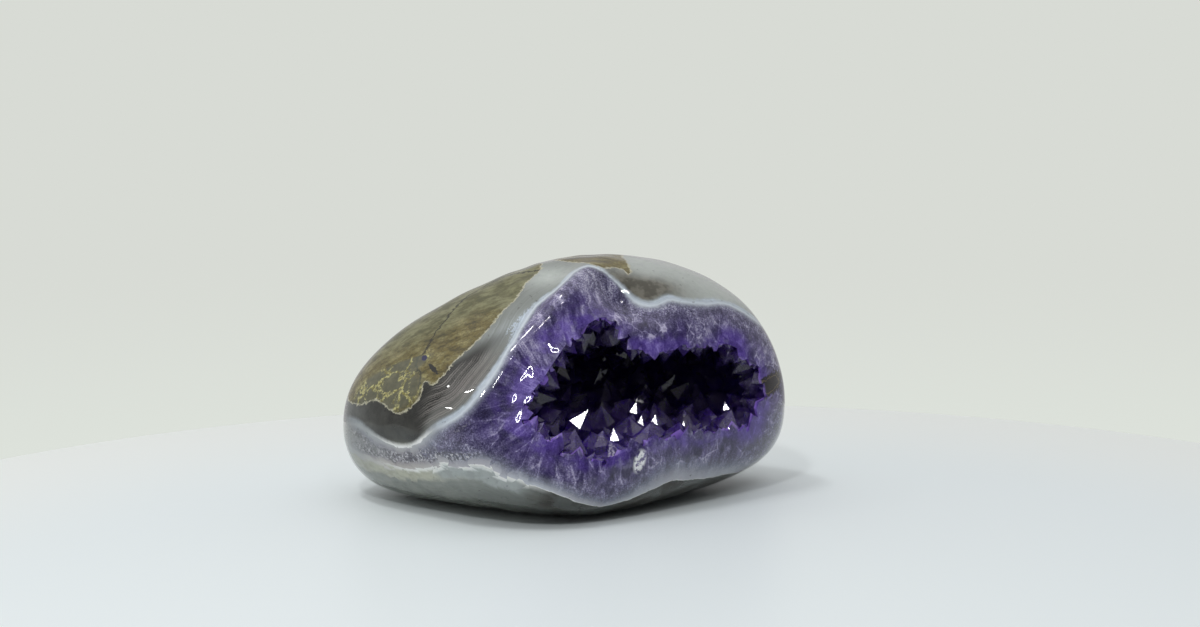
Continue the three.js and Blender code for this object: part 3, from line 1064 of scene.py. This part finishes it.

# %% [markdown]
# Two ramps turn the tone into violet, a fuller one near the mouth and a greyer one further out. Over
# them lie pools of deeper colour, the last millimetres of growth, which are a strong violet, the deep
# violet of the right end, milky clouds, the grey tongue of quartz at the far left, white specks that
# are partly painted glints, and a painted glint under the mouth, a mottled white spot.

# %% The violet of massive amethyst
near_mouth = polish.ramp(tone, [
    (0.1, shade(38, 32, 62)), (0.34, shade(62, 56, 94)), (0.5, shade(86, 79, 118)),
    (0.66, shade(116, 108, 152)), (0.95, shade(194, 188, 218)),
])
far_from_mouth = polish.ramp(tone, [
    (0.1, shade(42, 40, 58)), (0.34, shade(68, 65, 92)), (0.5, shade(92, 88, 118)),
    (0.66, shade(118, 114, 147)), (0.95, shade(198, 198, 216)),
])
violet = polish.mix(inner, near_mouth, far_from_mouth)
pool = polish.step(polish.stir(place, 0.19), 0.48, 0.6)
pool = polish.times(pool, polish.step(mouth, 0.5, 10.0, 0.75, 0.0))
violet = polish.mix(pool, violet, polish.mix(tone, shade(44, 28, 84), shade(112, 96, 166)))
last_growth = polish.times(polish.step(mouth, 0.3, 3.4, 0.8, 0.0), polish.step(slow, 0.42, 0.6, 0.9, 0.15))
violet = polish.mix(last_growth, violet, polish.mix(tone, shade(46, 26, 104), shade(124, 98, 200)))
deep = polish.times(polish.soft("deep", 0.1, 0.8, 0.0, 0.8), polish.step(mouth, 3.0, 7.0, 1.0, 0.0))
violet = polish.mix(deep, violet, polish.mix(tone, shade(36, 18, 84), shade(112, 84, 190)))
cloud = polish.step(polish.stir(place, 0.24, 5, 0.62), 0.57, 0.74, 0.0, 0.45)
violet = polish.mix(cloud, violet, polish.mix(tone, shade(106, 102, 138), shade(196, 192, 218)))
tongue = polish.step(mouth, 17.0, 28.0, 0.0, 0.85)
violet = polish.mix(tongue, violet, polish.mix(tone, shade(92, 94, 96), shade(184, 183, 186)))
# Partly painted highlight: white specks that also stand in for tiny glints in the quartz.
specks_and_painted_glints = polish.times(polish.step(grain, 0.66, 0.72), polish.step(blotches, 0.5, 0.6, 0.0, 0.6))
violet = polish.mix(specks_and_painted_glints, violet, shade(200, 198, 214))
# Painted highlight: a mottled white glint under the mouth.
painted_glint = polish.shades(fine, 0.42, 0.5, violet, shade(250, 250, 254))
violet = polish.mix(polish.soft("painted_glint", 0.2, 0.6), violet, painted_glint)
print("massive amethyst takes", len(polish.tree.nodes), "nodes")

# %% [markdown]
# Outside the quartz lies the agate. Its growth lines are level curves of a noise that only depends on
# the distance from the quartz, so they run side by side along the edge as real agate lines do. They
# turn into fine bright lace at the left, and into broad light bands round the back.

# %% The agate's lines
lines = polish.level(quartz, 1.5, 3, 0.7)
broad_lines = polish.level(quartz, 0.3, 2)
agate = polish.shades(lines, 0.3, 0.7, shade(124, 129, 124), shade(138, 143, 140))
far_back = polish.times(polish.step(quartz, 14, 26), polish.step(broad_lines, 0.44, 0.56, 0.0, 0.7))
agate = polish.mix(far_back, agate, polish.mix(mottle, shade(146, 146, 134), shade(184, 186, 176)))
fan = polish.times(polish.number("fan"), polish.step(lines, 0.35, 0.65, 0.3, 0.9))
agate = polish.mix(fan, agate, shade(184, 192, 194))

# %% [markdown]
# What the agate took up as it grew stains it in soft zones: brown by the rib, smoke in the pocket at the
# left, olive underneath. The pale frost at the right and on top is partly paler agate and partly painted
# light, and painted shade darkens the olive low at the front, under the stone.

# %% The agate's stains
agate = polish.mix(polish.number("lace"), agate, shade(88, 85, 82))
agate = polish.mix(polish.number("skin_shade"), agate, shade(68, 70, 66))
# Partly painted light: the frost lightens the agate at the right and on top.
frost_and_painted_light = polish.mix(mottle, shade(164, 171, 167), shade(198, 204, 199))
agate = polish.mix(polish.number("frost_and_painted_light"), agate, frost_and_painted_light)
bistre = polish.shades(polish.stir(place, 0.35), 0.4, 0.6, shade(74, 71, 60), shade(112, 109, 98))
agate = polish.mix(polish.number("bistre"), agate, bistre)
smoke = polish.shades(polish.stir(place, 0.3, 4, 0.6), 0.35, 0.7, shade(26, 26, 23), shade(48, 48, 44))
agate = polish.mix(polish.soft("smoke", 0.08, 0.6), agate, smoke)
from_line = polish.math("ABSOLUTE", polish.math("SUBTRACT", lines, 0.5))
lace = polish.times(polish.step(from_line, 0.004, 0.03, 0.6, 0.0), polish.soft("lace", 0.2, 0.6))
agate = polish.mix(lace, agate, shade(160, 154, 150))
olive = polish.shades(polish.stir(place, 0.25, 4), 0.35, 0.65, shade(108, 110, 100), shade(168, 169, 157))
# Painted shade: the olive turns dark low at the front, under the stone.
olive = polish.mix(polish.number("under"), olive, shade(50, 50, 42))
agate = polish.mix(polish.times(polish.number("olive"), polish.step(quartz, 1.6, 3.0)), agate, olive)

# %% [markdown]
# Under the tongue of quartz lies a band of opaque chalcedony, cream at the tip and milky grey further
# in. It is chipped into flakes, each with its own shade, and its upper brink has a painted highlight.


# %% The cream and milky bands
def flaky_band(under, name, dark, light, specks, brink_highlight_colour):
    """Flakes from dark to light, with specks and a painted brink highlight, over the colour under them."""
    band = polish.mix(flake, dark, light)
    band = polish.mix(speckle, band, specks)
    band = polish.mix(painted_brink_highlight, band, brink_highlight_colour)
    return polish.mix(polish.times(polish.soft(name, 0.1, 0.4), low_band), under, band)


ragged = polish.math("SUBTRACT", flaky_edge, polish.times(mottle, 0.8))
low_band = polish.band(ragged, (0.0, 0.2), (2.6, 4.6))
# Painted highlight: a bright line along the upper brink of the flaky bands.
painted_brink_highlight = polish.band(ragged, (0.0, 0.2), (0.4, 0.9), 0.6)
speckle = polish.step(mottle, 0.4, 0.6, 0.0, 0.4)
# The last colour of each band is its painted brink highlight.
cream = shade(162, 162, 144), shade(186, 186, 168), shade(204, 203, 186), shade(222, 222, 212)
milk = shade(150, 156, 154), shade(170, 176, 176), shade(182, 188, 188), shade(214, 220, 221)
agate = flaky_band(agate, "cream", *cream)
agate = flaky_band(agate, "milk", *milk)
print("and with the agate", len(polish.tree.nodes))

# %% [markdown]
# Where quartz turned to agate the stone has a pale line. From the quartz it fades in as a haze, and its
# core is bright. It frays outwards into fibres at the left and thins out beyond the rib. Below, it is
# wide and dusky with one crisp white line, and under the tongue it is rosy.

# %% Where the haze and the pale line lie
fibres = polish.times(polish.step(polish.stir(columns, 2.4), 0.35, 0.65, 0.0, 2.8), polish.number("fan"))
pale_reach = polish.math("ADD", fibres, polish.step(slow, 0.4, 0.6, 0.0, 0.7))
pale_reach = polish.times(pale_reach, polish.math("SUBTRACT", 1.0, polish.number("dusk")))
pale_reach = polish.blend(polish.number("thin"), -0.9, pale_reach)
depth_in = polish.math("DIVIDE", quartz, polish.number("fade"))
from_core = polish.math("ABSOLUTE", polish.math("ADD", quartz, 0.2))
bright_core = polish.step(from_core, 0.0, 1.1, 0.65, 0.0)

# %% The haze
haze = polish.mix(polish.number("rosy"), shade(108, 110, 128), shade(122, 113, 120))
bright_haze = polish.mix(polish.number("rosy"), shade(166, 172, 186), shade(176, 168, 172))
layers = polish.mix(polish.step(depth_in, -2.4, -0.5, 0.0, 0.8), violet, polish.mix(tone, haze, bright_haze))

# %% The pale line
side_lines = polish.blend(mottle, 0.7, polish.step(lines, 0.3, 0.7, -0.2, 0.5))
pale = polish.mix(side_lines, shade(150, 161, 174), shade(212, 224, 236))
pale = polish.mix(bright_core, pale, shade(226, 234, 241))
misty = polish.mix(polish.times(bright_core, 0.6), shade(132, 140, 142), shade(182, 190, 192))
pale = polish.mix(polish.soft("mist", 0.2, 0.7, 0.0, 0.85), pale, misty)
dusky = polish.mix(mottle, shade(166, 165, 177), shade(200, 199, 207))
pale = polish.mix(polish.number("dusk"), pale, dusky)
pale = polish.mix(polish.number("rosy"), pale, shade(190, 184, 180))
layers = polish.mix(polish.step(depth_in, -1.3, 0.1), layers, pale)

# %% [markdown]
# Inside the pale line the tongue carries a line of fine white and dark grit. Outside it comes the
# agate, with a dull patch at the left tip, dark glassy chalcedony low at the right, and the notch at
# the right end of the mouth, which is dark with one tawny line in it.

# %% Grit, agate, glass and notch over the haze and the pale line
grit = polish.stir(place, 1.5, 2, 0.6)
grit_line = polish.band(quartz, (-3.8, -3.0), (-2.0, -1.2))
grit_line = polish.times(grit_line, polish.soft("grit", 0.15, 0.6))
dark_grit = polish.times(grit_line, polish.step(grit, 0.4, 0.5, 0.75, 0.0))
layers = polish.mix(dark_grit, layers, shade(70, 68, 74))
white_grit = polish.times(grit_line, polish.step(grit, 0.54, 0.62, 0.0, 0.9))
layers = polish.mix(white_grit, layers, shade(208, 207, 212))
white_line = polish.times(polish.step(quartz, 0.0, 0.3), polish.soft("dusk", 0.1, 0.5))
layers = polish.mix(white_line, layers, shade(244, 245, 243))
layers = polish.mix(polish.step(polish.math("SUBTRACT", quartz, pale_reach), 0.1, 1.5), layers, agate)
dull = polish.mix(mottle, shade(84, 88, 86), shade(128, 132, 130))
layers = polish.mix(polish.number("dull"), layers, dull)
glass = polish.shades(polish.stir(place, 0.2), 0.4, 0.6, shade(34, 30, 20), shade(72, 75, 73))
glassy = polish.times(polish.soft("glass", 0.1, 0.3), polish.step(quartz, 0.2, 0.4))
layers = polish.mix(glassy, layers, glass)
notch = polish.blend(polish.math("SUBTRACT", fine, 0.5), 0.9, polish.number("notch"))
layers = polish.mix(polish.step(notch, 0.1, 0.3), layers, shade(26, 18, 24))
layers = polish.mix(polish.band(notch, (0.4, 0.46), (0.5, 0.58), 0.6), layers, shade(128, 112, 84))

# %% [markdown]
# The brown skin is what weather left of the outside of the nodule. It is streaked one way, greyer
# above its long crack, and breaks up into a crust with yellow clay at its lower end.

# %% The brown skin
jagged = polish.blend(polish.stir(place, 0.8, 5, 0.7), 2.6, -1.3)
skin = polish.math("ADD", polish.number("skin_edge"), jagged)
skin_share = polish.step(skin, -0.12, 0.12, 1.0, 0.0)
streaked = {"Vector": place, "Rotation": (0.0, 0.6, 0.3), "Scale": (0.22, 1.0, 1.0)}
streak = polish.stir(polish.node("ShaderNodeMapping", streaked).outputs[0], 0.4, 7, 0.68)
brown = polish.ramp(polish.blend(streak, 1.2, -0.08), [
    (0.32, shade(56, 49, 18)), (0.42, shade(92, 81, 34)), (0.5, shade(118, 105, 52)),
    (0.58, shade(128, 119, 73)), (0.68, shade(160, 148, 98)),
])
freckles = polish.step(polish.stir(place, 1.6, 4, 0.7), 0.35, 0.6, 0.5, 0.0)
brown = polish.mix(freckles, brown, shade(46, 41, 22))
grey_green = polish.shades(streak, 0.4, 0.6, shade(88, 88, 56), shade(130, 130, 95))
brown = polish.mix(polish.soft("grey_rind", 0.15, 0.6, 0.0, 0.85), brown, grey_green)

# %% The cracks in the skin
wiggle = polish.blend(polish.stir(place, 0.7, 4, 0.65), 3.0, -1.5)
from_crack = polish.math("ABSOLUTE", polish.math("ADD", polish.number("crack_line"), wiggle))
split = polish.step(polish.blend(mottle, 0.8, polish.number("split")), 0.78, 0.95)
crack = polish.math("MAXIMUM", polish.step(from_crack, 0.12, 0.45, 0.85, 0.0), split)
brown = polish.mix(crack, brown, shade(24, 22, 16))

# %% [markdown]
# The yellow clay fills the seams of a net of cells. The cells' places are warped first, so that the
# seams wander, and a second noise makes them thick here and thin there.

# %% The broken crust and its yellow clay
warp = polish.node("ShaderNodeTexNoise", {"Vector": place, "Scale": 0.35, "Detail": 3.0}).outputs["Color"]
push = {0: warp, 1: (5.0, 5.0, 5.0), 2: place}
warped = polish.node("ShaderNodeVectorMath", push, operation="MULTIPLY_ADD").outputs[0]
net = polish.cells(warped, 0.16, feature="DISTANCE_TO_EDGE").outputs["Distance"]
knots = polish.math("ADD", net, polish.blend(polish.stir(place, 1.1, 4, 0.75), 0.5, -0.25))
grey_crust = polish.mix(mottle, shade(66, 68, 56), shade(112, 114, 98))
brown = polish.mix(polish.soft("crust", 0.25, 0.6, 0.0, 0.8), brown, grey_crust)
veins = polish.times(polish.step(knots, -0.02, 0.09, 1.0, 0.0), polish.soft("crust", 0.2, 0.6))
clay = polish.shades(fine, 0.4, 0.58, shade(120, 112, 56), shade(206, 200, 136))
brown = polish.mix(veins, brown, clay)
brown = polish.mix(polish.soft("blue_spot", 0.3, 0.5), brown, shade(44, 42, 78))

# %% [markdown]
# The skin goes over the layers with a thin pale rim, where the polish has just worn through it. The
# wall of the cut, which shows only through the crystals, gets one violet, so that the light that
# reaches it comes back violet.

# %% The skin and the wall over the layers
layers = polish.mix(skin_share, layers, brown)
rim_line = polish.times(polish.band(skin, (-0.4, -0.1), (0.1, 0.3)), polish.step(fine, 0.35, 0.55, 0.3, 0.95))
layers = polish.mix(rim_line, layers, shade(190, 187, 164))
layers = polish.mix(polish.number("wall"), layers, shade(146, 112, 214))

# %% [markdown]
# Polished chalcedony shines like glass over a slightly soft body. A clear coat gives the sharp
# reflections, a little subsurface light the softness, and the skin stays duller than the rest.

# %% Gloss
polish.set_surface(
    Base_Color=layers,
    Roughness=polish.step(skin_share, 0, 1, 0.22, 0.42),
    Specular_IOR_Level=0.1,
    Coat_Weight=1.0,
    Coat_Roughness=0.03,
    Subsurface_Weight=0.12,
    Subsurface_Radius=(1.0, 0.8, 1.2),
    Subsurface_Scale=0.0015,
)
polish.dress(stone)

# %% [markdown]
# ## Clear violet crystal
#
# Each face bends the light and the body soaks up its green and red, so thin tips stay light and the
# crowded roots go nearly black, and painted shade darkens the crystals deep in the hollow further. A
# small part of the light is scattered by milky flaws on its way, which is what lets the thick crystals
# show any violet at all. Grainy roughness makes the mirroring faces sparkle.

# %% The crystals' finish
gem = Finish("clear_amethyst")
gem_place = gem.place()
fresh = gem.shades(gem.stir(gem_place, 0.3), 0.4, 0.62, shade(136, 100, 216), shade(206, 190, 244))
# Painted shade: deep in the hollow the base colour turns dark violet.
gem.set_surface(
    Base_Color=gem.mix(gem.number("painted_hollow_shade"), fresh, shade(44, 34, 78)),
    Roughness=gem.step(gem.stir(gem_place, 1.9, 4, 0.65), 0.44, 0.6, 0.01, 0.2),
    Transmission_Weight=0.85,
    IOR=1.544,
)
absorption = gem.node("ShaderNodeVolumeAbsorption", {"Color": (0.4, 0.16, 0.72, 1.0), "Density": 150.0})
gem.feed(gem.output.inputs["Volume"], absorption.outputs[0])
gem.dress(crust)

# %% [markdown]
# Each piece is put on the body that it rides on, and the plain solid that it replaces is hidden.

# %% Tell the frame what the pieces stand for
for piece, node in ((stone, "polished_stone"), (crust, "crystal_crust")):
    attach(piece, "root")
    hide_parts(node)
    print(piece.name, "stands for", node)

# %% [markdown]
# ## Floor, light and camera
#
# The stone lies on a round white table in a pale room. The table is one flat disc, a touch cooler in
# the middle than at its rim.

# %% The table
TABLE_RADIUS = 225
TABLE_RIM = 90
TABLE_SIDES = 180
TABLE_MIDDLE = np.array([20.0, -95.0, 0.0])
turns = np.linspace(0, 2 * np.pi, TABLE_SIDES, endpoint=False)
rim = TABLE_MIDDLE + TABLE_RADIUS * np.stack([np.cos(turns), np.sin(turns), 0 * turns], axis=-1)
floor_mesh = bpy.data.meshes.new("table")
floor_mesh.from_pydata(rim * MM, [], [tuple(range(TABLE_SIDES))])
floor = bpy.data.objects.new("table", floor_mesh)
bpy.context.scene.collection.objects.link(floor)
floor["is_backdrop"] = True

table = Finish("white_table")
centred = {"Vector": table.place(), "Location": tuple((-TABLE_MIDDLE).tolist())}
table_place = table.node("ShaderNodeMapping", centred).outputs[0]
from_middle = table.node("ShaderNodeVectorMath", {0: table_place}, operation="LENGTH").outputs["Value"]
inner_radius = TABLE_RADIUS - TABLE_RIM
white = table.shades(from_middle, inner_radius, TABLE_RADIUS, shade(238, 246, 248), shade(246, 250, 247))
table.set_surface(Base_Color=white, Roughness=0.4)
table.dress(floor)

# %% [markdown]
# The room's light depends on the direction alone. It is dim to the front, so that the polish reflects
# something dark and keeps its colours, and bright overhead, like a studio's ceiling. The camera itself
# sees a plain wall instead, a little lighter towards its foot.

# %% The room
world = bpy.data.worlds.new("pale_room")
world.use_nodes = True
bpy.context.scene.world = world
room = Nodes(world.node_tree)
way = room.node("ShaderNodeTexCoord").outputs["Generated"]
towards_dark = {0: way, 1: tuple(heading(30, 0).tolist())}
forward = room.node("ShaderNodeVectorMath", towards_dark, operation="DOT_PRODUCT").outputs["Value"]
rise_share = room.node("ShaderNodeSeparateXYZ", {0: way}).outputs["Z"]
front = room.step(forward, 0.2, 0.66, 0.48, 0.06)
ceiling = {0: room.step(rise_share, 0.62, 0.9), 2: front, 3: 0.9}
glow = room.node("ShaderNodeMix", ceiling).outputs[0]
lit = room.node("ShaderNodeCombineColor", {0: glow, 1: glow, 2: glow}).outputs[0]
wall = room.shades(rise_share, -0.21, -0.12, shade(221, 226, 219), shade(216, 219, 213))
seen = room.node("ShaderNodeLightPath").outputs["Is Camera Ray"]
room.feed(room.tree.nodes["Background"].inputs["Color"], room.mix(seen, lit, wall))
print("the room has", len(room.tree.nodes), "nodes")

# %% [markdown]
# Lamps do the rest, and the polish shows them as reflections. The key lamp lights the glitter, a long
# soft one draws the line on the crest, two small ones make a dash and a dot, and a ring of bulbs
# leaves the little rings on the ridges.


# %% The lamps
def lamp(name, turn, rise, width, height, watts):
    """A soft rectangular lamp, width by height mm, LAMP_DISTANCE from the heart and turned towards it."""
    data = bpy.data.lights.new(name, "AREA")
    data.shape = "RECTANGLE"
    data.size, data.size_y, data.energy = width * MM, height * MM, watts
    made = bpy.data.objects.new(name, data)
    way = heading(turn, rise)
    made.location = Vector((way * LAMP_DISTANCE + heart) * MM)
    made.rotation_mode = "QUATERNION"
    made.rotation_quaternion = Vector(-way).to_track_quat("-Z", "Y")
    bpy.context.scene.collection.objects.link(made)


lamp("key", *KEY_HEADING, 60, 60, 1.1)
lamp("crest", -60, 69, 190, 80, 1.2)
lamp("dash", -94, 49, 20, 20, 0.08)
lamp("dot", -76, 33, 14, 14, 0.03)

RING_BULBS = 14
RING_RADIUS = 22
ring_way = heading(14, 42)
ring_side = unit(np.cross(UP, ring_way))
ring_up = np.cross(ring_way, ring_side)
for number, angle in enumerate(np.linspace(0, 2 * np.pi, RING_BULBS, endpoint=False)):
    offset = (ring_side * np.cos(angle) + ring_up * np.sin(angle)) * RING_RADIUS / LAMP_DISTANCE
    bulb = unit(ring_way + offset)
    turn, rise = np.degrees(np.arctan2(bulb[0], -bulb[1])), np.degrees(np.arcsin(bulb[2]))
    lamp(f"ring_{number}", turn, rise, 7, 7, 0.012)
print("the room has", len(bpy.data.lights), "lamps")

# %% [markdown]
# The camera looks a little down at the stone from straight ahead, from far enough that the lines stay
# calm, and leaves more room above the stone than below it.

# %% The camera
VIEW_WIDTH = 298.507
VIEW_OFFSET = np.array([9.0, 0.0, 17.3])
SENSOR_WIDTH = 36
view_centre = heart + shift
eye = view_centre + heading(0, VIEW_RISE) * VIEW_DISTANCE
camera_data = bpy.data.cameras.new("camera")
camera_data.sensor_width = SENSOR_WIDTH
camera_data.lens = SENSOR_WIDTH * VIEW_DISTANCE / VIEW_WIDTH
camera_data.clip_start, camera_data.clip_end = 0.01, 20
camera = bpy.data.objects.new("camera", camera_data)
camera.location = Vector(eye * MM)
camera.rotation_mode = "QUATERNION"
camera.rotation_quaternion = Vector(view_centre + VIEW_OFFSET - eye).to_track_quat("-Z", "Y")
bpy.context.scene.collection.objects.link(camera)
bpy.context.scene.camera = camera
bpy.context.scene.view_settings.view_transform = "Standard"
print("the camera is", VIEW_DISTANCE, "mm away with a lens of", round(camera_data.lens, 1), "mm")
